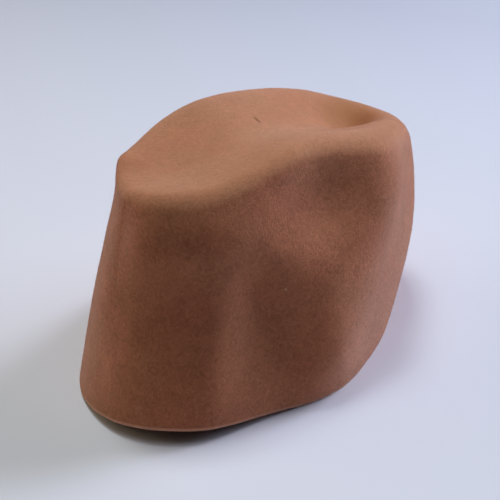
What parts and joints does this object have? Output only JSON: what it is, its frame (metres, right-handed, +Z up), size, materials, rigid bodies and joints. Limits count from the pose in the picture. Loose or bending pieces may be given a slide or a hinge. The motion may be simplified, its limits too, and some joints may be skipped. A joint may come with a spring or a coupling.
{
  "type": "tarboosh",
  "caption": "Brimless felt cap: a hollow blocked shell with soft dented side walls, a rolled ridge round the top and a long dent in the crown, open below for a head.",
  "frame": {"origin": "under the middle of the cap's bounding box, on the floor that the rim rests on", "axes": "+X along the cap's length towards the front end that leans outward, +Y across it, +Z up"},
  "size_m": [0.2366, 0.1576, 0.136],
  "materials": {
    "felt": "matt, napped wool felt"
  },
  "bodies": {
    "root": {"felt_cap": "felt"}
  },
  "joints": []
}
